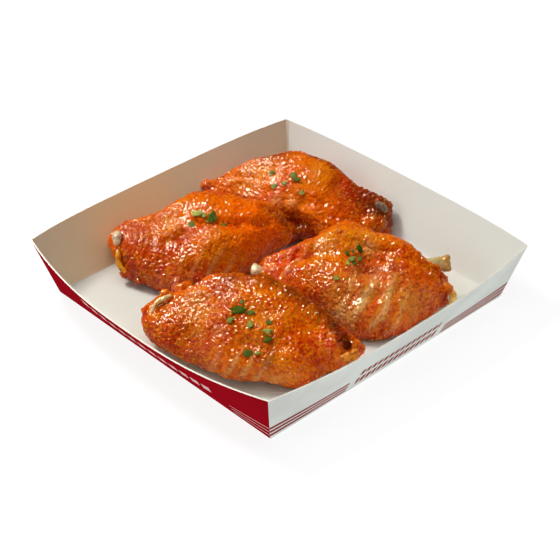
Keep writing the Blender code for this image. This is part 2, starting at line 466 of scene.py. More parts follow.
def plain_board(name, ground, warmth, painted_shade):
    """Uncoated white board, warmer here and there, with a strip of painted shade at a corner and perhaps a
    tan middle of painted shade and bounced warm light.
    """
    finish = Finish(name)
    cloud = finish.noise(0.035, detail=3, roughness=0.55)
    fleck = finish.noise(0.0011, detail=4, roughness=0.7)
    base = finish.blend(ground, warmth, finish.rise(cloud, 0.38, 0.72) * 0.55)
    base = finish.blend(base, FLECK, finish.rise(fleck, 0.62, 0.8) * 0.2)
    along, across, up = finish.parts(finish.place)
    corner = across - WALL_LEAN / WALL_RISE * up
    strip = finish.rise(corner, *CORNER_STRIP) * finish.rise(up, 0.001, 0.0015)
    # Painted shade: a tan strip down a corner's rounded fold.
    base = finish.blend(base, CORNER_SHADE, strip * 0.7)
    if painted_shade:
        # The wall's middle tinted tan: painted shade and bounced warm light.
        middle = 1 - finish.rise(abs(along - SHADE_MIDDLE), 0.0, SHADE_REACH)
        base = finish.blend(base, painted_shade, 0.40 + 0.58 * middle)
    return finish.close(
        Base_Color=base, Roughness=0.55 + 0.2 * fleck, Normal=board_grain(finish),
        Specular_IOR_Level=0.15,
    )


# The print: thin lines along the foot of a wall, and rows of dashes in the bare stretch between them.
# Heights and widths are shares of the wall's rise, and places along the wall are in metres.
LINE_HEIGHTS = (0.105, 0.195, 0.285)
LINE_HALF = {"dark": 0.026, "pale": 0.006}      # half the width of a line
LINE_EDGE = 0.003
BARE_HALF = {"dark": 0.0265, "pale": 0.046}     # the lines leave this much of a wall's middle free
DASHES = {                  # the heights of each row, its start, its end, and the step between dashes
    "dark": (((0.13, 0.30), (0.36, 0.50)), -0.0225, 0.0225, 0.0031),
    "pale": (((0.40, 0.58),), -0.0400, 0.0400, 0.0062),
}
DASH_LEAN = 0.0052          # how far a dash leans over the whole rise
DASH_EDGE = 0.012           # softness of a dash's top and foot
PRINT_EDGE = 0.0003         # softness of the ends of lines and rows


def line_mask(finish, height, centre, half_width):
    """1 on a thin line at one height of the wall."""
    return 1 - finish.rise(abs(height - centre), half_width, half_width + LINE_EDGE)


def dashes(finish, along, height, kind):
    """1 on rows of short slanted dashes."""
    heights, start, end, pitch = DASHES[kind]
    lean = along - DASH_LEAN * height
    step = finish.node("Math", {"operation": "PINGPONG"}, {0: lean, 1: pitch / 2})
    rows = 0.0
    for low, high in heights:
        top = 1 - finish.rise(height, high - DASH_EDGE, high)
        rows = finish.rise(height, low, low + DASH_EDGE) * top + rows
    middle, half = (start + end) / 2, (end - start) / 2
    row_ends = 1 - finish.rise(abs(along - middle), half, half + PRINT_EDGE)
    return finish.rise(step, 0.12 * pitch, 0.20 * pitch) * rows * row_ends


def printed_board(name, ground, ink, kind):
    """Board printed with a field of colour, and thin lines along the foot either side of rows of dashes."""
    finish = Finish(name)
    along, height, _ = finish.parts(finish.node("UVMap", {"uv_map": "wall"}))
    lines = 0.0
    for centre in LINE_HEIGHTS:
        lines = line_mask(finish, height, centre, LINE_HALF[kind]) + lines
    reach = abs(along) if kind == "dark" else along
    lines = lines * finish.rise(reach, BARE_HALF[kind], BARE_HALF[kind] + PRINT_EDGE)
    marks = lines + dashes(finish, along, height, kind)
    worn = finish.noise(0.0009, detail=4, roughness=0.7)
    cloud = finish.noise(0.02, detail=3)
    base = finish.blend(ground, tuple(0.88 * c for c in ground), finish.rise(cloud, 0.35, 0.7))
    base = finish.blend(base, ink, finish.rise(marks, 0.1, 0.9) * (0.9 + 0.1 * worn))
    return finish.close(
        Base_Color=base, Roughness=0.5 + 0.15 * worn, Normal=board_grain(finish),
        Specular_IOR_Level=0.0,
    )


def cut_edge():
    """The pale fibrous edge of the cut board."""
    finish = Finish("board_cut_edge")
    fibre = finish.noise(0.0005, detail=3, roughness=0.7)
    base = finish.blend(srgb(244, 240, 230), srgb(214, 205, 188), finish.rise(fibre, 0.45, 0.7))
    return finish.close(Base_Color=base, Roughness=0.75, Normal=finish.bump(fibre, 0.00008))


def build_tray():
    tray = fold_up_walls()
    bow_walls(tray)
    draw_print_map(tray)
    red = printed_board("board_red_print", CRIMSON, PALE_INK, "pale")
    striped = printed_board("board_striped_print", WHITE_BOARD, DARK_INK, "dark")
    underside, inside, ground, painted_shade = (plain_board(name, *tones) for name, tones in PLAIN_FACES.items())
    edge = cut_edge()
    for material in (red, striped, underside, striped, inside, inside, ground, painted_shade, *(edge,) * 4):
        tray.data.materials.append(material)
    apply_modifier(
        tray, "BEVEL", width=FOLD_ROUND, segments=3, limit_method="ANGLE",
        angle_limit=math.radians(FOLD_ANGLE), use_clamp_overlap=True,
    )
    apply_modifier(
        tray, "SOLIDIFY", thickness=BOARD, offset=-1, use_even_offset=True,
        material_offset=INNER_SLOTS, material_offset_rim=EDGE_SLOTS,
    )
    only(tray)
    bpy.ops.object.shade_smooth_by_angle(angle=math.radians(SHADE_ANGLE))
    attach(tray, "root")
    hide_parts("tray")


# ---- wings ---------------------------------------------------------------------------------------
DEEP = srgb(130, 28, 4)
RED = srgb(192, 46, 4)
SCARLET = srgb(232, 56, 10)
ORANGE = srgb(220, 87, 4)
AMBER = srgb(236, 111, 4)
VIVID = srgb(250, 104, 2)
GOLD = srgb(228, 138, 16)
TAN = srgb(216, 148, 62)
CREAM = srgb(246, 204, 134)
PINK = srgb(206, 108, 60)
BLUSH = srgb(224, 140, 96)
MAUVE = srgb(150, 66, 44)
BROWN = srgb(92, 32, 12)
# Painted glints: the pale warm dot painted on the top of each blister.
PAINTED_GLINT = srgb(255, 200, 118)
# Painted highlight: the pale tone of the streaks painted where the glaze catches the light.
PAINTED_SHEEN = srgb(255, 222, 184)
CALM_TONES = (BROWN, CREAM, PINK, MAUVE, BLUSH, VIVID)   # patches of these carry little speckle

# Each wing, in millimetres:
#   heading  the direction of its length, degrees
#   middle   the middle of its length, seen from above
#   seed     where its noise is read
#   grain    how grainy its skin is
#   buds     the lumps of flesh that stand out: x, y, z, radius
#   folds    the ridges and hollows of its back: height, width, path seen from above
#   rings    rings of wrinkled skin round a joint: height, middle, radii
#   cuffs    the places where the skin ends: side, place along the wing, depth
#   ribs     the ribs across its side: depth, spacing, first crest, lean, middle, radius
#   patches  patches of colour, some of them painted shade and some painted highlight: colour, share,
#   radius, middle
#   painted_highlights  streaks painted where the glaze catches the light, painted highlights: share,
#   radius, middle
WINGS = {
    "wing_front": dict(
        heading=-56, middle=(-35, -22.5), seed=3.7, grain=1.0,
        buds=(
            (-60, 12, 15.5, 2.4), (-62.6, 8, 13, 2.6), (-63.6, 3.5, 13, 2.4), (-57.5, 13.2, 15, 2.2),
            (-51.5, 10.6, 20.4, 2), (-54, 10.4, 19.4, 1.6), (-45, 8.6, 20.6, 2.6), (-42, 8, 21, 2.2),
            (-17.4, -57.4, 10, 3.2), (-21.5, -56.8, 9.5, 2.8), (-14.6, -56.6, 11.5, 2.2),
            (-14.2, -53, 15, 2), (-14.3, -41.5, 19.2, 1.1),
        ),
        folds=(
            (-1.3, 1.2, ((-61, 4.5), (-55, 6.8), (-49, 5.8))),
            (0.7, 1.1, ((-49, 1), (-45, -3), (-43, -9))), (-0.6, 1, ((-46, 3), (-42, -2), (-40, -10))),
            (0.7, 1.1, ((-44, 4), (-39, -2), (-38, -11))), (-0.6, 1, ((-41, 4), (-36, -4), (-35, -14))),
            (0.8, 3, ((-50, -12), (-44, -24), (-38, -38))),
            (-0.9, 2.6, ((-50, -30), (-43, -40), (-34, -48))),
            (-1, 2, ((-22, -44), (-18, -50), (-16, -54))),
            (-2.4, 1.6, ((-18.5, -56.5), (-15.5, -55), (-13.5, -53.5))),
            (2.6, 4.6, ((-26, -8), (-21, -20), (-19, -30), (-18, -38), (-17, -45), (-16, -52))),
            (1.8, 5, ((-40, 8), (-34, 0), (-28, -8), (-24, -16), (-20, -24))),
            (-1.2, 2.2, ((-20, -53), (-17, -56), (-14, -58))),
        ),
        ribs=(0.5, 6.6, 2.0, 0.5, (-52, -34, 8), 14),
        # Painted shade as well as darker skin: the BROWN patches along the far ridge, in the slit under the
        # elbow bone and in the hollow by the wrist, and the DEEP ones low on the sides.
        patches=(
            (GOLD, 0.55, 9, (-39, -33, 22)), (GOLD, 0.4, 7, (-51, -12, 20)),
            (GOLD, 0.5, 8, (-55, -32, 9)), (GOLD, 0.5, 8, (-42, -50, 8)), (TAN, 0.5, 6, (-50, -41, 6)),
            (TAN, 0.4, 6, (-60, -20, 6)), (RED, 0.6, 8, (-62, -5, 14)), (RED, 0.6, 9, (-28, -48, 18)),
            (RED, 0.5, 7, (-38, -8, 27)), (DEEP, 0.45, 5, (-64, 4, 14)),
            (SCARLET, 0.6, 4, (-60, 12, 16)), (AMBER, 0.9, 2.6, (-51.5, 10.6, 21)),
            (DEEP, 0.55, 4, (-43, 9, 20)), (CREAM, 0.6, 2.6, (-51.6, -21.7, 20)),
            (BROWN, 0.5, 6, (-31, -8, 26)), (BROWN, 0.6, 6, (-24, -17, 25)),
            (BROWN, 0.65, 6.5, (-17, -28, 23)), (BROWN, 0.7, 7, (-12, -42, 19)),
            (BROWN, 0.55, 3, (-45.5, -43, 14)), (GOLD, 0.95, 1.6, (-14.3, -41.5, 20)),
            (AMBER, 0.8, 4.5, (-18, -59, 10)), (BROWN, 0.85, 2.6, (-16.5, -55.5, 15)),
            (BROWN, 0.9, 1.7, (-58.5, 6.6, 19.4)), (BROWN, 0.9, 1.7, (-55.5, 6.6, 20.4)),
            (BROWN, 0.8, 1.5, (-52.5, 6, 21.6)), (TAN, 0.6, 4, (-46, -48, 6)),
            (RED, 0.6, 6, (-52, -20, 20)), (RED, 0.5, 5, (-33, -30, 24)),
            (DEEP, 0.4, 5, (-57, -12, 16)), (AMBER, 0.6, 8, (-28, -30, 24)),
            (BROWN, 0.8, 4.6, (-21, -21, 28)), (BROWN, 0.85, 4.6, (-20, -29, 28)),
            (BROWN, 0.85, 4.6, (-19, -36, 26)), (BROWN, 0.85, 4.6, (-17.5, -43, 23)),
            (BROWN, 0.85, 4, (-16, -49, 20)), (BROWN, 0.6, 4.5, (-25, -13, 28)),
            (DEEP, 0.6, 5, (-31, -5, 28)), (BROWN, 0.95, 3.2, (-17, -56.5, 14)),
            (AMBER, 0.6, 5, (-44, -2, 25)), (GOLD, 0.4, 6, (-50, -4, 22)),
            (SCARLET, 0.6, 4, (-24, -52, 17)), (SCARLET, 0.5, 4, (-37, 2, 26)),
            (DEEP, 0.5, 6, (-60, -6, 10)), (DEEP, 0.4, 5, (-62, 2, 10)), (RED, 0.5, 6, (-46, -22, 22)),
            (TAN, 0.6, 2.4, (-55, -14, 17)), (DEEP, 0.45, 5, (-30, -54, 8)),
            (DEEP, 0.4, 4, (-41, -40, 17)),
        ),
        painted_highlights=(
            (0.95, 6, (-42, -5, 26)), (0.7, 5, (-47, 1, 24)), (0.75, 5, (-37, -8, 27)),
            (0.6, 3.4, (-24.6, -52.5, 17.5)), (0.6, 3, (-19, -52, 18.5)),
        ),
    ),
    "wing_left": dict(
        heading=-40, middle=(-6.2, 42), seed=8.3, grain=0.9,
        buds=(
            (-39.6, 47.4, 5.4, 2.8), (-41.4, 50.4, 5.2, 2), (-39.6, 43.4, 4.4, 2), (-37, 57.6, 12, 3.4),
            (-34.5, 62, 15.6, 2.6),
        ),
        folds=(
            (-1.9, 2, ((-13, 41), (-7.4, 32.1), (-0.2, 26.5), (8.4, 20.3), (19, 18.6))),
            (0.9, 3.2, ((-8, 41), (-1, 33), (8, 26), (17, 23))),
            (0.8, 3.4, ((-22, 30), (-12, 22.5), (2, 18.5))),
            (-0.9, 2, ((-30, 42), (-22, 38.5), (-15, 37))),
            (0.7, 1.4, ((-29, 45), (-21, 42), (-15, 41))),
            (-0.8, 1.6, ((-30, 28), (-22, 20), (-12, 15))),
        ),
        rings=((0.7, (-38.6, 57.4, 17), (4.2, 6.4, 8.6, 11, 13.2)),),
        ribs=(0.4, 7.4, 3.0, 0.6, (-16, 21, 10), 14),
        # Painted shade as well as darker skin: the DEEP and MAUVE patches low on the side.
        patches=(
            (RED, 0.75, 8, (-24, 37, 19)), (RED, 0.6, 8, (-30, 47, 17)), (DEEP, 0.5, 5, (-29, 51, 19)),
            (AMBER, 0.75, 9, (-2, 39, 27)), (AMBER, 0.7, 8, (-13, 50, 25)),
            (AMBER, 0.65, 9, (-6, 22, 19)), (ORANGE, 0.8, 8, (8, 18.5, 16)),
            (AMBER, 0.5, 7, (11, 28, 25)), (GOLD, 0.6, 5, (-27, 29, 15)),
            (GOLD, 0.5, 4.5, (-18, 24, 18)), (PINK, 0.4, 6, (-38, 36, 6)),
            (PINK, 0.3, 4.5, (-22, 20.5, 10)), (MAUVE, 0.5, 5, (-33, 30, 5)),
            (BROWN, 0.6, 4.5, (22, 18, 16)), (DEEP, 0.5, 4, (21, 25, 21)),
            (BLUSH, 0.4, 3.5, (-35, 58, 19)), (RED, 0.5, 5, (-31, 60, 20)),
            (AMBER, 0.7, 3, (-39, 58, 11)), (BROWN, 0.9, 1.8, (-39.4, 51, 12)),
            (DEEP, 0.7, 4.5, (-40, 46, 5)), (RED, 0.7, 8, (-30, 33, 10)), (DEEP, 0.6, 8, (-37, 40, 7)),
            (DEEP, 0.5, 6, (-36, 47, 8)), (VIVID, 0.85, 8, (10, 27, 25)), (VIVID, 0.8, 8, (12, 18, 17)),
            (VIVID, 0.7, 8, (1, 22, 20)), (VIVID, 0.7, 8, (0, 34, 26)), (VIVID, 0.6, 7, (-12, 44, 25)),
            (GOLD, 0.6, 5, (-12, 22, 17)), (AMBER, 0.6, 5, (-18, 47.5, 22.5)),
            (GOLD, 0.5, 5, (-22, 44.5, 21)), (AMBER, 0.5, 5, (-26, 49, 20)),
            (RED, 0.65, 5, (-25, 38.5, 18)), (DEEP, 0.45, 4, (-20, 38, 21)),
            (DEEP, 0.4, 5, (-30, 44, 16)), (DEEP, 0.8, 3, (17.6, 26, 23.4)),
            (DEEP, 0.8, 3, (20, 23, 21)), (BROWN, 0.7, 3, (20.6, 20, 18)),
            (DEEP, 0.55, 7, (-31, 30, 5)), (DEEP, 0.5, 7, (-24, 24, 4)), (MAUVE, 0.55, 6, (-28, 27, 7)),
            (RED, 0.6, 2.5, (-7.4, 32, 22)), (RED, 0.6, 2.5, (0, 26, 21)), (RED, 0.6, 2.5, (9, 20, 20)),
        ),
        painted_highlights=(
            (1, 3.4, (-25, 41, 19.5)), (0.8, 3.2, (-28.5, 44.5, 19)), (0.7, 4.5, (-14, 46, 24.5)),
            (0.75, 4.5, (-19, 50, 23)), (0.5, 4, (-31, 52, 19)), (0.6, 2.6, (18, 22, 22)),
            (0.5, 3, (-36.5, 60, 19)),
        ),
    ),
    "wing_right": dict(
        heading=-49, middle=(21, -22.4), seed=5.1, grain=1.0,
        buds=(
            (-1, 2.6, 13, 3), (2.6, -0.6, 16, 2.6), (6.6, -3.4, 18.6, 2.2), (41.6, -55.6, 11, 3.8),
            (39, -57, 6.6, 3), (44.4, -52.6, 9.6, 3), (38.6, -37.4, 22.4, 1.6),
            (39.4, -40.6, 21.2, 1.7), (39.8, -43.8, 19.6, 1.6), (43.8, -50.8, 12.6, 2.2),
            (46.8, -49.4, 10.2, 2.8), (46.4, -51.8, 8, 2.8), (44.6, -47.4, 12.4, 2.6),
        ),
        folds=(
            (1.5, 1.2, ((-4.2, -8), (2.8, -8), (9, -8.4), (14.5, -6.6))),
            (-1, 1.2, ((-5, -5.2), (2, -5.2), (8.6, -5.6))),
            (-1.4, 1.4, ((17.2, -7.4), (20.4, -17.7), (25.2, -25.4), (30, -32.4), (35.4, -38.6))),
            (-1.7, 2.4, ((13.5, -29.5), (21, -34.8), (25, -40.4), (31.5, -44.6))),
            (1, 2.6, ((6, -35.5), (14, -42), (22, -48))),
            (-0.7, 1.6, ((0.5, -32), (6, -41), (13, -47.5))),
            (-1.2, 1.6, ((34, -50), (37.5, -54), (38.5, -57.5))),
        ),
        cuffs=((1, 35.5, 1.2),),
        ribs=(0.75, 8.4, 5.5, 0.6, (9.5, -46, 14.5), 14),
        # Painted shade as well as darker skin: the MAUVE patches in the furrow and the DEEP one low on the
        # side. The BLUSH on the fold by the wrist bone is pale skin and painted highlight.
        patches=(
            (SCARLET, 0.95, 5, (1, 0, 17)), (SCARLET, 0.8, 4.5, (6, -4, 19)),
            (BLUSH, 0.6, 1.6, (-3, -8, 17)), (BLUSH, 0.55, 1.8, (3, -8, 20)),
            (AMBER, 0.75, 8, (28, -12, 26)), (AMBER, 0.7, 7, (34, -25, 26)),
            (AMBER, 0.6, 6, (13, -14, 25)), (GOLD, 0.5, 6, (7, -18, 21)), (GOLD, 0.5, 6, (22, -19, 27)),
            (RED, 0.6, 2.6, (23, -22, 26)), (RED, 0.6, 2.6, (30, -32, 24)),
            (RED, 0.6, 2.8, (35, -38, 24)), (CREAM, 0.7, 2.4, (26, -27, 25)),
            (MAUVE, 0.6, 4.5, (21, -35, 20)), (MAUVE, 0.45, 4, (26, -41, 20)),
            (PINK, 0.5, 4, (14, -30, 21)), (TAN, 0.6, 10, (5, -38, 14)), (TAN, 0.55, 10, (14, -48, 14)),
            (TAN, 0.4, 8, (25, -52, 13)), (CREAM, 0.6, 2.6, (5.5, -42.4, 16)),
            (CREAM, 0.55, 2.4, (0.6, -39, 12.5)), (RED, 0.65, 3, (7, -48, 13)),
            (RED, 0.6, 2.8, (12.5, -50.5, 14.5)), (RED, 0.5, 4, (26, -49, 17)),
            (RED, 0.6, 5, (33, -48, 18)), (RED, 0.7, 5, (38, -41, 21)), (RED, 0.6, 5, (43, -54, 13)),
            (BROWN, 0.7, 3.4, (40.5, -48.5, 16)), (BROWN, 0.8, 2.2, (38, -58, 9)),
            (GOLD, 0.6, 3, (42.6, -56, 12)), (GOLD, 0.7, 7, (17, -13, 26)),
            (GOLD, 0.6, 7, (30, -22, 27)), (TAN, 0.7, 7, (3, -35, 13)), (TAN, 0.6, 7, (10, -44, 14)),
            (TAN, 0.5, 6, (20, -50, 13)), (SCARLET, 0.6, 5, (-2, -3, 14)),
            (TAN, 0.7, 5, (0.5, -41.5, 11)), (CREAM, 0.6, 2.4, (-1.6, -38, 11)),
            (GOLD, 0.7, 4, (19, -53, 14.6)), (RED, 0.8, 2.6, (3.2, -36.6, 17.4)),
            (RED, 0.8, 2.4, (0.6, -46, 9)), (DEEP, 0.6, 4, (8, -54, 5)),
        ),
        painted_highlights=(
            (1, 1.7, (-2.6, -7.9, 17.4)), (1, 1.7, (0.6, -7.9, 18.6)), (0.95, 1.7, (3.6, -8, 19.6)),
            (0.9, 1.7, (6.6, -8.1, 21.2)), (0.6, 4, (24, -25, 26)), (0.5, 5, (14, -12, 25.5)),
            (0.5, 4, (3, -2, 19)), (0.3, 5, (22, -38, 20)),
        ),
    ),
    "wing_back": dict(
        heading=-57, middle=(45.6, 38.6), seed=11.9, grain=0.82,
        buds=(
            (21.4, 71, 12.4, 2), (22.2, 68.4, 13.6, 2), (31.6, 25.6, 17.6, 2.8), (56.9, 36.9, 26, 1.5),
            (41, 49.2, 26, 1.5), (50, 44, 27.6, 1.8), (62.6, 7.6, 14.6, 4.2), (64, 5, 14.6, 3.6),
            (65.2, 2.8, 14.4, 2.8), (66.4, 1, 14, 2), (61.6, 3.6, 10.6, 4.2), (62.4, 0.4, 9, 3.6),
            (61.4, -1.6, 6.6, 3.2), (64, 0, 11.4, 2.8), (63, -1.8, 8.4, 2.6), (66, -0.2, 12, 1.6),
            (58.4, -1, 8, 4.4), (56.4, 1.6, 8.4, 5), (59.4, -3.4, 5.4, 3.6), (30, 24, 6, 4.6),
            (34, 20, 7, 4.4), (27, 28, 5.6, 4.2),
        ),
        folds=(
            (0.7, 1.1, ((24, 60), (28, 53), (30, 45))), (-0.6, 1, ((26, 61), (30, 53), (32, 45))),
            (0.7, 1.1, ((28, 61), (33, 53), (35, 46))), (-1.2, 2.2, ((34, 26), (38, 20), (44, 14))),
            (1, 4, ((44, 40), (50, 28), (53, 18))), (-0.9, 2.4, ((38, 36), (44, 25), (48, 14))),
        ),
        # Painted shade as well as darker skin: the DEEP and BROWN patches low on the side.
        patches=(
            (AMBER, 0.6, 6.5, (28, 52, 20)), (AMBER, 0.55, 5, (25, 58, 17)),
            (GOLD, 0.75, 9, (50, 25, 25)), (AMBER, 0.6, 8, (41, 25, 23)), (AMBER, 0.5, 7, (37, 44, 25)),
            (CREAM, 0.5, 3, (29, 33, 19)), (CREAM, 0.6, 2, (31.6, 25.6, 19)),
            (GOLD, 0.7, 5, (33, 27, 18)), (RED, 0.7, 8, (57, 14, 19)), (RED, 0.65, 7, (53, 8, 14)),
            (DEEP, 0.55, 5, (60, 12, 18)), (BROWN, 0.8, 4, (58, 38, 27)),
            (BROWN, 0.8, 3, (41, 50.5, 27)), (BROWN, 0.7, 5, (62, 29, 25)),
            (BROWN, 0.6, 4, (62, 19, 22)), (DEEP, 0.5, 4, (50, 45, 29)),
            (BROWN, 0.9, 8, (64.5, 3, 13.5)), (BROWN, 0.9, 7, (62, -1, 8)),
            (PINK, 0.5, 3.6, (22, 70, 13.5)), (DEEP, 0.75, 7, (31, 25, 8)), (DEEP, 0.6, 6, (36, 16, 8)),
            (VIVID, 0.7, 8, (42, 34, 26)), (VIVID, 0.6, 8, (34, 42, 24)), (VIVID, 0.5, 7, (40, 20, 20)),
            (BROWN, 0.85, 5, (61, 8, 18)), (DEEP, 0.8, 5, (58, 10, 18)), (BROWN, 0.8, 6, (30, 23, 5)),
            (DEEP, 0.8, 3.4, (45, 47, 28)), (DEEP, 0.7, 3, (56, 37, 29)),
            (BROWN, 0.85, 3, (57, 33, 29)), (DEEP, 0.85, 3.6, (59.6, 28, 27)),
            (DEEP, 0.85, 3.6, (61.6, 22, 24)), (BROWN, 0.8, 3.4, (62.6, 16, 21)),
            (RED, 0.7, 5, (56, 18, 21)), (BROWN, 0.8, 4, (60, 3, 13)), (GOLD, 0.6, 7, (30, 50, 21)),
            (GOLD, 0.5, 6, (36, 44, 24)), (AMBER, 0.6, 6, (27, 57, 18)), (RED, 0.6, 4, (54, 22, 24)),
            (RED, 0.55, 4, (37, 33, 23)), (SCARLET, 0.5, 4, (33, 38, 21)),
        ),
        painted_highlights=(
            (1, 5, (31.5, 54, 22)), (1, 4.6, (30, 47, 21)), (0.9, 4.6, (27, 50, 18.5)),
            (0.7, 4, (28, 58, 19)), (0.8, 2.4, (32.5, 25.5, 19.5)), (0.5, 4, (38, 40, 25)),
            (0.25, 5, (55, 14, 20)),
        ),
    ),
}
WING_VOXEL = 0.000345       # grain of a finished wing's mesh
WING_ROUNDS = 14            # rounds of smoothing before it is carved
SKIN_NOISE = {              # spacing of the lumps, millimetres, and what is added to the wing's seed
    "swell": (9.0, 0),
    "cuff": (2.6, 50),
    "grit": (1.4, 20),
    "fine_grit": (0.8, 40),
    "liveliness": (12.0, 5),
    "wrinkle": (2.8, 9),
    "drift": (11.0, 31),
    "fine_drift": (4.0, 33),
    "wetness": (7.0, 60),
}
WING_ENDS = (24, 38)        # how far from a wing's middle its skin starts to wrinkle, and wrinkles fully
BACK_SLOPE = (-0.1, 0.45)   # folds come in as a normal's upward part grows from the first to the second
FOLD_END = 0.2              # a fold rises and sinks over this share of its path
SWELL_RISE = 0.45
WRINKLE_RISE = 0.45
WRINKLE_STRETCH = (2.2, 0.7, 0.7)
PEBBLE_SIZE = 2.0
PEBBLE_RISE = 0.2
PEBBLE_STRETCH = (0.8, 1.0, 1.0)
GRIT_RISE = 0.34            # where the skin is grainy
FAINT_GRIT_RISE = 0.1       # everywhere
BLISTER = dict(spacing=2.0, share=0.75, reach=0.42)
BLISTER_RISE = 0.24
RING_WIDTH = 0.6
CUFF_RAMP = 1.2             # how far the skin takes to end
RIB_RISE = 0.4
RIB_BARE = 0.08             # a rib's crest and groove are coloured beyond this height
LOWEST_SKIN = 0.75          # the wings rest this high, on the tray's board
DRIFT_TONES = ((AMBER, 1.5, 0.7), (RED, -2.0, 0.8))      # tone, how fast it comes in, its most
FOOT_BROWNING_AND_SHADE = (              # darker towards where a wing rests, browner skin and painted shade: tone, share, waviness, the heights where it is full and gone
    (RED, 0.5, 2.0, 2.0, 9.0),
    (BROWN, 0.8, 1.0, 0.8, 4.5),
)
SPECKLE_TONES = (           # tone, where it starts and is full in the drift of the speckle, share
    (RED, 0.51, 0.65, 0.65),
    (DEEP, 0.64, 0.76, 0.4),
)


def wing_copy(node, buds):
    """A finer, smoother copy of a solid, joined with its buds, ready for carving."""
    name = node.replace("wing", "skin")
    piece = bpy.data.objects.new(name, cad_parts[node].data.copy())
    bpy.context.scene.collection.objects.link(piece)
    only(piece)
    bpy.ops.object.mode_set(mode="EDIT")
    bpy.ops.mesh.select_all(action="SELECT")
    bpy.ops.mesh.remove_doubles(threshold=1e-6)
    for bud in buds:
        add_ball(*bud)
    bpy.ops.object.mode_set(mode="OBJECT")
    piece.data.name = name
    remesh(piece, WING_VOXEL, WING_ROUNDS)
    piece.data.materials.clear()
    return piece


def along_wing(points, heading, middle):
    """Points in a wing's own frame: along its length, across it, and up, in millimetres."""
    turn = math.radians(heading)
    flat = points[:, :2] - np.array(middle)
    return np.column_stack((
        flat @ (math.cos(turn), math.sin(turn)),
        flat @ (-math.sin(turn), math.cos(turn)),
        points[:, 2],
    ))


def fold_height(points, upness, folds):
    """Ridges and hollows drawn over the back, where the skin faces up."""
    upward = smooth_step(upness, *BACK_SLOPE)
    height = np.zeros(len(points))
    for rise, width, path in folds:
        distance, share = path_distance(points[:, :2], path)
        ends = smooth_step(share, 0, FOLD_END) * (1 - smooth_step(share, 1 - FOLD_END, 1))
        height += rise * np.exp(-(distance / width) ** 2) * upward * ends
    return height


def ring_height(points, rings, wander):
    """Rings of wrinkled skin round a joint, lower and lower outwards."""
    height = np.zeros(len(points))
    for rise, middle, radii in rings:
        reach = np.linalg.norm(points - middle, axis=1) + wander
        for radius in radii:
            fade = 1 - radius / (2.2 * radii[-1])
            height += rise * np.exp(-((reach - radius) / RING_WIDTH) ** 2) * fade
    return height


def rib_wave(points, local, wander, depth, spacing, first, lean, place, radius):
    """Ribs across a wing's side: up to depth on a crest, as low in a groove, fading away round a place."""
    phase = (local[:, 0] - first - lean * (points[:, 2] - place[2])) / spacing
    fade = np.exp(-(np.linalg.norm((points - place) * (1, 1, 1.3), axis=1) / radius) ** 2)
    return depth * np.cos(2 * math.pi * phase + wander) * fade


def skin_colour(points, drift, wave, grain, patches):
    """The tint of the skin, and how calm each place is: a calm one carries little speckle."""
    colour = np.tile(np.array(ORANGE), (len(points), 1))
    for tone, gain, most in DRIFT_TONES:
        colour = blend_towards(colour, tone, np.clip(drift * gain, 0, most))
    calm = np.full(len(points), 2.5 * (1 - grain))
    for tone, strength, radius, place in patches:
        reach = np.linalg.norm(points - place, axis=1) * (1 + 0.35 * drift)
        share = strength * np.exp(-(reach / radius) ** 2)
        colour = blend_towards(colour, tone, share)
        if tone in CALM_TONES:
            calm = np.maximum(calm, share)
    colour = blend_towards(colour, CREAM, 0.95 * np.maximum(wave - RIB_BARE, 0))
    colour = blend_towards(colour, SCARLET, np.maximum(-wave - RIB_BARE, 0))
    calm = np.maximum(calm, 0.4 * np.abs(wave))
    # Darker towards the foot of the wing: browner skin there, and painted shade where it rests on the
    # board.
    for tone, strength, waviness, low, high in FOOT_BROWNING_AND_SHADE:
        foot = 1 - smooth_step(points[:, 2] + waviness * drift, low, high)
        colour = blend_towards(colour, tone, strength * foot)
    return colour, calm


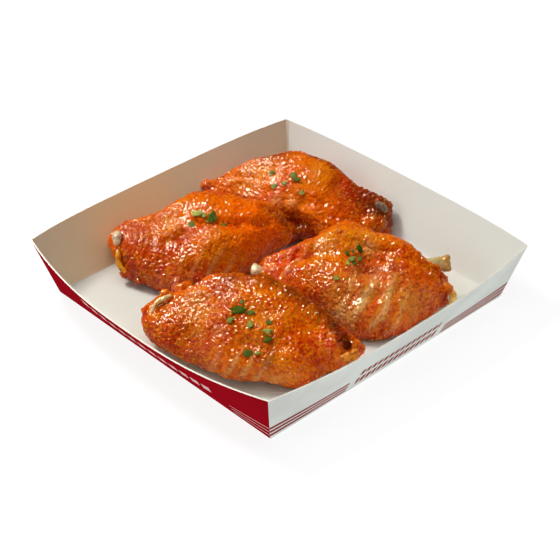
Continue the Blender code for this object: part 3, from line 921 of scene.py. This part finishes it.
def carve_wing(
        piece, heading, middle, seed, grain, folds, patches, painted_highlights, rings=(), cuffs=(), ribs=None):
    """Shapes the skin of a wing, and paints on it what its material reads."""
    points = points_of(piece)
    local = along_wing(points, heading, middle)

    def layer(name, stretch=1.0):
        spacing, further = SKIN_NOISE[name]
        return lumps(local * stretch, spacing, seed + further)

    ends = smooth_step(np.abs(local[:, 0]), *WING_ENDS)
    swell = layer("swell")
    upness = vertex_rows(piece, "normal")[:, 2]
    height = SWELL_RISE * swell + fold_height(points, upness, folds)
    height += ring_height(points, rings, 0.9 * swell)
    for side, edge, depth in cuffs:
        ragged = edge + 1.2 * layer("cuff") + 0.8 * swell
        height -= depth * smooth_step(side * local[:, 0], ragged, ragged + CUFF_RAMP)
    pebble = cobbles(local * PEBBLE_STRETCH + 1.2 * swell[:, None], PEBBLE_SIZE, seed)
    grit = layer("grit") + 0.8 * layer("fine_grit")
    bumpy = 0.6 + 0.4 * smooth_step(layer("liveliness"), -0.3, 0.35)
    wrinkle = layer("wrinkle", WRINKLE_STRETCH) * ends
    grains = PEBBLE_RISE * (pebble - 0.5) + GRIT_RISE * grit
    relief = grain * bumpy * grains + FAINT_GRIT_RISE * grit + WRINKLE_RISE * wrinkle
    dome = blisters(local + 0.5 * swell[:, None], seed=seed, **BLISTER)
    wave = rib_wave(points, local, 1.4 * swell, *ribs) if ribs else np.zeros(len(points))
    points = push_out(piece, points, height + relief + BLISTER_RISE * dome + RIB_RISE * wave)
    points[:, 2] = np.maximum(points[:, 2], LOWEST_SKIN)
    set_points(piece, points)
    drift = layer("drift") + 0.4 * layer("fine_drift")
    colour, calm = skin_colour(points, drift, wave, grain, patches)
    # Painted highlights: how strongly pale streaks are painted round each listed place.
    painted_sheen = np.zeros(len(points))
    for strength, radius, place in painted_highlights:
        painted_sheen = np.maximum(painted_sheen, strength * bell(points, place, radius))
    paint(piece, "tint", colour)
    paint(piece, "relief", np.clip(0.5 + 1.3 * relief + 0.12 * height, 0, 1))
    paint(piece, "painted_sheen", painted_sheen)
    paint(piece, "dome", dome)
    paint(piece, "calm", calm)
    paint(piece, "wet", np.clip(0.5 + 0.9 * layer("wetness") + 0.25 * ends, 0, 1))


def glazed_skin():
    """Roast skin: red and golden speckle over the painted tint, painted glints and highlight streaks, and
    pits darkened partly as painted shade, under a glaze that gathers on blisters.
    """
    finish = Finish("roast_glazed_skin")
    tint = finish.painted("tint", "Color")
    relief = finish.painted("relief")
    wet = finish.painted("wet")
    dome = finish.painted("dome")
    lively = 1 - finish.painted("calm")
    mottle = finish.noise(0.0042, detail=3, roughness=0.6)
    speckle = finish.noise(0.0012, detail=3, roughness=0.6)
    streak = finish.noise(0.0013, detail=2, roughness=0.5, distortion=1.0)
    grain = finish.noise(0.0010, detail=1)
    drift = speckle + 0.7 * (mottle - 0.5)
    base = finish.blend(tint, GOLD, (1 - finish.rise(drift, 0.36, 0.48)) * 0.6 * lively)
    for tone, low, high, share in SPECKLE_TONES:
        base = finish.blend(base, tone, finish.rise(drift, low, high) * share * lively)
    # Darker in the pits and hollows: sauce held there, and painted shade.
    base = finish.blend(base, DEEP, (1 - finish.rise(relief, 0.06, 0.36)) * 0.4)
    base = finish.blend(base, AMBER, finish.rise(relief, 0.60, 0.9) * 0.35 * lively)
    # Painted glints on the tops of the blisters.
    base = finish.blend(base, PAINTED_GLINT, finish.rise(dome, 0.80, 0.96) * 0.7)
    # Painted highlight streaks, pale, round the listed places.
    painted_sheen = finish.painted("painted_sheen") * finish.rise(streak + 0.2 * (relief - 0.5), 0.56, 0.62)
    base = finish.blend(base, PAINTED_SHEEN, painted_sheen * 0.6)
    glaze = finish.rise(wet + 0.6 * (mottle - 0.5), 0.35, 0.75)
    return finish.close(
        Base_Color=base,
        Roughness=0.42 + 0.1 * speckle,
        Coat_Weight=0.28 + 0.34 * glaze + 0.38 * finish.rise(dome, 0.15, 0.5),
        Coat_Roughness=0.05,
        Coat_IOR=1.5,
        Specular_IOR_Level=0.0,
        Subsurface_Weight=0.05,
        Subsurface_Radius=(1.0, 0.35, 0.12),
        Subsurface_Scale=0.002,
        Normal=finish.bump(grain, 0.0005, finish.bump(mottle, 0.0005)),
    )


def build_wings():
    skin = glazed_skin()
    wings = []
    for node, shape in WINGS.items():
        carving = {name: value for name, value in shape.items() if name != "buds"}
        piece = wing_copy(node, shape["buds"])
        carve_wing(piece, **carving)
        dress(piece, skin, node)
        wings.append(piece)
    return wings


# ---- bones ---------------------------------------------------------------------------------------
# Each bone end: its CAD node, its colour, the colour it browns to, and its beads (x, y, z, radius) in
# millimetres, which join into one rounded body.
BONES = {
    "bone_front_elbow": (srgb(238, 206, 140), srgb(196, 120, 50), (
        (-61.4, 8.4, 15.8, 0.9), (-60.2, 9, 17, 1), (-58.6, 9.4, 18.2, 1.2), (-57, 9.4, 19.2, 1.3),
        (-55, 9, 20, 1.3), (-53, 8.4, 20.6, 1.1), (-51.4, 7.8, 20.9, 0.9),
    )),
    "bone_front_knob": (srgb(212, 108, 70), srgb(150, 44, 20), (
        (-45.4, 11.2, 19.4, 1.8), (-43.8, 12.8, 20.6, 2.1), (-43, 13.6, 21.2, 2),
    )),
    "bone_front_wrist": (srgb(226, 140, 36), srgb(164, 76, 16), (
        (-21, -58.6, 10.8, 1.5), (-19.2, -60, 11.2, 1.8), (-17.4, -61.2, 11, 1.8),
        (-16.2, -60.6, 12.4, 1.3),
    )),
    "bone_left_elbow": (srgb(230, 204, 168), srgb(206, 132, 96), (
        (-36, 60.8, 18, 1.6), (-37.6, 59.4, 17.6, 2.1), (-38.9, 58, 16.4, 1.6),
    )),
    "bone_left_tendon": (srgb(232, 160, 44), srgb(196, 92, 20), (
        (-39.6, 56.2, 13.2, 1.1), (-41.2, 54.8, 11.6, 1.2), (-42.2, 53.2, 9.8, 1.25),
        (-42.4, 51.6, 8.2, 1.25), (-41.8, 50.2, 6.8, 1.2),
    )),
    "bone_right_wrist": (srgb(232, 212, 168), srgb(222, 186, 140), (
        (-4.6, 4.6, 11.2, 2), (-6.2, 6, 12.2, 2.2), (-7.6, 6.6, 12.4, 1.6), (-6.2, 7.6, 13.4, 1.3),
        (-7.4, 5, 13.2, 1.2),
    )),
    "bone_right_tendon": (srgb(238, 200, 110), srgb(216, 150, 60), (
        (42.8, -56.6, 10.4, 1.5), (43.2, -57.8, 8.6, 1.6), (42.2, -59, 7, 1.5), (40.6, -59.6, 5.8, 1.3),
    )),
    "bone_back_elbow": (srgb(150, 134, 112), srgb(110, 70, 50), (
        (61.4, 2.4, 16.4, 1.4), (62.2, 0.9, 15.6, 1.7), (62.6, -0.5, 14.2, 1.4),
    )),
}
BEADS_BETWEEN = 3           # steps from one bead of the list to the next
BEAD_VOXEL = 0.00018
BEAD_LUMPS = ((0.3, 1.9, 2.0), (0.12, 0.8, 7.0))         # rise, spacing, seed
BONE_ROUNDS = 8
# The cut bone that sticks out of the right wing.
STUB_NODE = "bone_right_elbow"
STUB_PATH = ((37.4, -38.6, 15.4), (50.8, -48.0, 15.4))
STUB_RADIUS = 3.0
STUB_SIDES = 28
STUB_RIM = 0.5              # width of each of the two rims of its cut end
MARROW_DEPTH = 1.8
STUB_CUTS = 3
STUB_VOXEL = 0.0002
STUB_LUMPS = ((0.35, 2.6, 4.0), (0.14, 0.9, 9.0))
RAGGED_FROM = 3.5           # its end is ragged over this length, all of it over the last part
RAGGED_TO = 0.5
RAGGED_LUMPS = ((0.7, 1.8, 14.0),)
STUB_TONE = srgb(202, 176, 116)
STUB_BROWNED = srgb(206, 160, 90)
STUB_CUT_TONE = srgb(176, 112, 46)
STUB_ROOT_TONE = srgb(150, 80, 40)


def gristle():
    """Bare bone and gristle in two painted tones, wet and faintly streaked."""
    finish = Finish("bare_bone")
    cloud = finish.noise(0.0024, detail=4, roughness=0.6)
    fine = finish.noise(0.0006, detail=3)
    pale, browned = finish.painted("pale", "Color"), finish.painted("browned", "Color")
    return finish.close(
        Base_Color=finish.blend(pale, browned, finish.rise(cloud, 0.42, 0.66)),
        Roughness=0.4 + 0.2 * fine,
        Coat_Weight=0.3 + 0.4 * cloud,
        Coat_Roughness=0.12,
        Specular_IOR_Level=0.0,
        Subsurface_Weight=0.1,
        Subsurface_Radius=(1.0, 0.7, 0.4),
        Subsurface_Scale=0.002,
        Normal=finish.bump(fine, 0.0002, finish.bump(cloud, 0.0006)),
    )


def finish_bone(piece, node, pale, browned, bare):
    """Paints a bone end in its tones, each one colour or a colour for each vertex, and dresses it."""
    rows = (len(piece.data.vertices), 3)
    paint(piece, "pale", np.broadcast_to(pale, rows))
    paint(piece, "browned", np.broadcast_to(browned, rows))
    dress(piece, bare, node)


def strung(beads):
    """The beads with more strung between each two, so that they join into a smooth length."""
    full = []
    for first, second in zip(beads, beads[1:]):
        for step in range(BEADS_BETWEEN):
            full.append([a + (b - a) * step / BEADS_BETWEEN for a, b in zip(first, second)])
    return full + [beads[-1]]


def bead_body(name, beads):
    """Rounded beads joined into one body with a slightly uneven skin."""
    bpy.ops.object.select_all(action="DESELECT")
    first, *others = strung(beads)
    add_ball(*first)
    piece = added(name)
    bpy.ops.object.transform_apply(location=True, rotation=True, scale=True)
    bpy.ops.object.mode_set(mode="EDIT")
    for bead in others:
        add_ball(*bead)
    bpy.ops.object.mode_set(mode="OBJECT")
    remesh(piece, BEAD_VOXEL, BONE_ROUNDS)
    points = points_of(piece)
    set_points(piece, push_out(piece, points, layered_lumps(points, BEAD_LUMPS)))
    return piece


def cut_stub():
    """A cut end of bone, ragged and hollow, and how far along it each vertex is, 0 to 1."""
    start, end = (Vector(place) * MM for place in STUB_PATH)
    along = end - start
    direction = along.normalized()
    bpy.ops.object.select_all(action="DESELECT")
    bpy.ops.mesh.primitive_cylinder_add(
        vertices=STUB_SIDES, radius=STUB_RADIUS * MM, depth=along.length, location=(start + end) / 2,
        rotation=along.to_track_quat("Z", "Y").to_euler())
    stub = added(STUB_NODE.replace("bone", "end"))
    bpy.ops.object.transform_apply(location=True, rotation=True, scale=True)
    bpy.ops.object.mode_set(mode="EDIT")
    bpy.ops.mesh.select_mode(type="FACE")
    bpy.ops.mesh.select_all(action="DESELECT")
    shell = bmesh.from_edit_mesh(stub.data)
    for face in shell.faces:
        face.select = face.normal.dot(direction) > 0.9
    bmesh.update_edit_mesh(stub.data)
    bpy.ops.mesh.inset(thickness=STUB_RIM * MM)
    bpy.ops.mesh.inset(thickness=STUB_RIM * MM)
    bpy.ops.mesh.extrude_region_move(TRANSFORM_OT_translate={"value": direction * -MARROW_DEPTH * MM})
    bpy.ops.mesh.select_all(action="SELECT")
    bpy.ops.mesh.subdivide(number_cuts=STUB_CUTS)
    bpy.ops.object.mode_set(mode="OBJECT")
    remesh(stub, STUB_VOXEL, BONE_ROUNDS)
    points = points_of(stub)
    reach = (points - np.array(STUB_PATH[0])) @ np.array(direction)
    length = along.length / MM
    ragged = smooth_step(reach, length - RAGGED_FROM, length - RAGGED_TO)
    uneven = layered_lumps(points, STUB_LUMPS) + ragged * (0.5 + layered_lumps(points, RAGGED_LUMPS))
    set_points(stub, push_out(stub, points, uneven))
    return stub, reach / length


def build_bones():
    bare = gristle()
    for node, (pale, browned, beads) in BONES.items():
        finish_bone(bead_body(node.replace("bone", "end"), beads), node, pale, browned, bare)
    stub, reach = cut_stub()
    tone = np.tile(np.array(STUB_TONE), (len(reach), 1))
    tone = blend_towards(tone, STUB_CUT_TONE, 0.85 * smooth_step(reach, 0.74, 0.95))
    tone = blend_towards(tone, STUB_ROOT_TONE, 0.7 * (1 - smooth_step(reach, 0.25, 0.45)))
    finish_bone(stub, STUB_NODE, tone, STUB_BROWNED, bare)


# ---- herbs ---------------------------------------------------------------------------------------
# Each flake: its middle seen from above, its length, length over width, heading of its length in
# degrees, leaf, paleness; millimetres.
FLAKES = (
    (-41.6, -21.4, 6.6, 1.5, -30, 0, 0.05), (-38.4, -25.4, 4.4, 1.2, 40, 1, 0.15),
    (-46.4, -22.6, 3.8, 1.3, 60, 1, 0.35), (-42.4, -29.6, 4.8, 2.1, 40, 1, 0.55),
    (-36.4, -34, 3.2, 1.3, 70, 0, 0.15), (-39.6, -36.4, 6.4, 2.3, -32, 2, 0.6),
    (-41, -38, 4.6, 1.9, -55, 1, 0.1), (-49.1, -35.4, 4.2, 1.3, 60, 1, 0.12),
    (-46.8, -38.4, 2.4, 1.6, -30, 0, 0.5), (-37.9, -20, 2.8, 1.4, 20, 0, 0.2),
    (-8.9, 40.9, 5.4, 1.3, -35, 0, 0.8), (-7.4, 37.4, 3.2, 1.6, 10, 1, 0.6),
    (-5.8, 34.1, 5.2, 1.2, 50, 0, 0.12), (-7.6, 34.9, 3, 2.2, -60, 2, 0.55),
    (-13.6, 38.6, 3.8, 1.2, 10, 1, 0.25), (-3.9, 29.2, 2.4, 1.2, 40, 0, 0.15),
    (17.4, -22.3, 3, 1.5, 60, 1, 0.1), (22.9, -23.9, 4.8, 2, 66, 1, 0),
    (19.6, -23, 2.8, 1.8, -20, 2, 0.3), (12.9, -27.4, 5, 3.4, 52, 1, 0.7),
    (16, -26.4, 4, 1.4, 20, 0, 0.4), (15.4, -28.6, 2.8, 1.4, 80, 0, 0.1),
    (19.8, -27.1, 3.2, 1.2, 10, 0, 0.2), (4.1, -29.5, 3, 1.2, 60, 0, 0.5),
    (35.9, 42.4, 3.8, 1.3, -30, 0, 0.3), (40.9, 33.9, 4.2, 1.3, 20, 1, 0.3),
    (39.9, 31, 4, 1.2, -50, 0, 0.12), (31.9, 36.9, 3.4, 1.4, -10, 0, 0.5),
    (35.2, 33.6, 3.2, 1.5, -40, 1, 0.6), (37.5, 25.4, 2.6, 1.2, 60, 0, 0.6),
)
LEAVES = (                  # reach of each outline point of a chopped leaf, as a share of its size
    (1.25, 0.75, 1.1, 0.6, 0.95, 1.2, 0.8, 1, 1.3, 0.65, 0.9, 0.75),
    (1.3, 0.95, 0.8, 1, 0.7, 1.1, 1.35, 0.9, 0.6, 0.95, 0.7, 1),
    (1.4, 0.7, 0.6, 0.8, 0.55, 0.7, 1.4, 0.7, 0.5, 0.75, 0.6, 0.65),
)
LIFT = 0.35                 # how far a flake's middle stands off the skin, millimetres
DROP_FROM = 60              # flakes drop onto the wings from this height, millimetres
UPRIGHT = 0.4               # how far a flake turns from the skin's slope towards level
LEAF_THICKNESS = 0.1        # of a leaf 2 units across
HERB_GREEN = srgb(50, 78, 12)
HERB_PALE = srgb(196, 200, 104)
HERB_VEIN = srgb(98, 112, 24)


def chopped_leaf(number, reaches):
    """One curled scrap of leaf, 2 units across, drawn flat and bent."""
    bpy.ops.object.select_all(action="DESELECT")
    bpy.ops.mesh.primitive_circle_add(vertices=len(reaches), radius=1, fill_type="TRIFAN")
    leaf = added(f"leaf_{number}")
    rim = [v for v in leaf.data.vertices if v.co.length > 0.5]
    for vertex, reach in zip(rim, reaches):
        vertex.co *= reach
    bpy.ops.object.mode_set(mode="EDIT")
    bpy.ops.mesh.select_all(action="SELECT")
    bpy.ops.mesh.subdivide(number_cuts=1, smoothness=0.3)
    bpy.ops.object.mode_set(mode="OBJECT")
    for vertex in leaf.data.vertices:
        x, y, _ = vertex.co
        vertex.co.z = 0.28 * math.sin(2.6 * x + number) * math.cos(2.2 * y) + 0.2 * x * x
    apply_modifier(leaf, "SOLIDIFY", thickness=LEAF_THICKNESS, offset=0)
    return leaf


def herb_green():
    """Green leaf, from dark to pale, with yellower veins."""
    finish = Finish("chopped_herb")
    pale = finish.painted("paleness")
    vein = finish.noise(0.0007, detail=3, roughness=0.6)
    base = finish.blend(HERB_GREEN, HERB_PALE, pale)
    base = finish.blend(base, HERB_VEIN, finish.rise(vein, 0.45, 0.7) * 0.5)
    return finish.close(
        Base_Color=base, Roughness=0.5 + 0.2 * vein, Specular_IOR_Level=0.0,
        Normal=finish.bump(vein, 0.0002),
    )


def scatter_herbs(wings):
    leaves = [chopped_leaf(number, reaches) for number, reaches in enumerate(LEAVES)]
    depsgraph = bpy.context.evaluated_depsgraph_get()
    ground = [BVHTree.FromObject(wing, depsgraph) for wing in wings]
    above = Vector((0, 0, 1))
    placed = []
    for x, y, size, stretch, turn, shape, pale in FLAKES:
        hits = [tree.ray_cast(Vector((x, y, DROP_FROM)) * MM, -above) for tree in ground]
        spot, normal = max(((h[0], h[1]) for h in hits if h[0]), key=lambda h: h[0].z)
        flake = bpy.data.objects.new("flake", leaves[shape].data.copy())
        bpy.context.scene.collection.objects.link(flake)
        upward = normal.lerp(above, UPRIGHT).normalized()
        heading = Vector((math.cos(math.radians(turn)), math.sin(math.radians(turn)), 0))
        length = (heading - upward * heading.dot(upward)).normalized()
        stand = Matrix((length, upward.cross(length), upward)).transposed()
        pose = (stand @ Matrix.Diagonal((1, 1 / stretch, 1)) * (size / 2 * MM)).to_4x4()
        pose.translation = spot + normal * LIFT * MM
        flake.data.transform(pose)
        paint(flake, "paleness", np.full(len(flake.data.vertices), pale))
        placed.append(flake)
    for leaf in leaves:
        bpy.data.objects.remove(leaf)
    bpy.ops.object.select_all(action="DESELECT")
    for flake in placed:
        flake.select_set(True)
    bpy.context.view_layer.objects.active = placed[0]
    bpy.ops.object.join()
    herbs = added("herb_flakes")
    herbs.data.materials.append(herb_green())
    herbs.data.shade_smooth()
    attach(herbs, "root")


# ---- scene ---------------------------------------------------------------------------------------
def lay_floor():
    bpy.ops.object.select_all(action="DESELECT")
    bpy.ops.mesh.primitive_plane_add(size=FLOOR_SIDE, location=(0, 0, -FLOOR_DROP))
    floor = added("floor")
    floor.data.materials.append(Finish("floor_white").close(
        Base_Color=FLOOR_GREY, Roughness=0.9, Specular_IOR_Level=0.0,
        Emission_Color=(1, 1, 1), Emission_Strength=FLOOR_GLOW))
    floor.visible_glossy = False


place_camera()
light_scene()
lay_floor()
build_tray()
wings = build_wings()
build_bones()
scatter_herbs(wings)
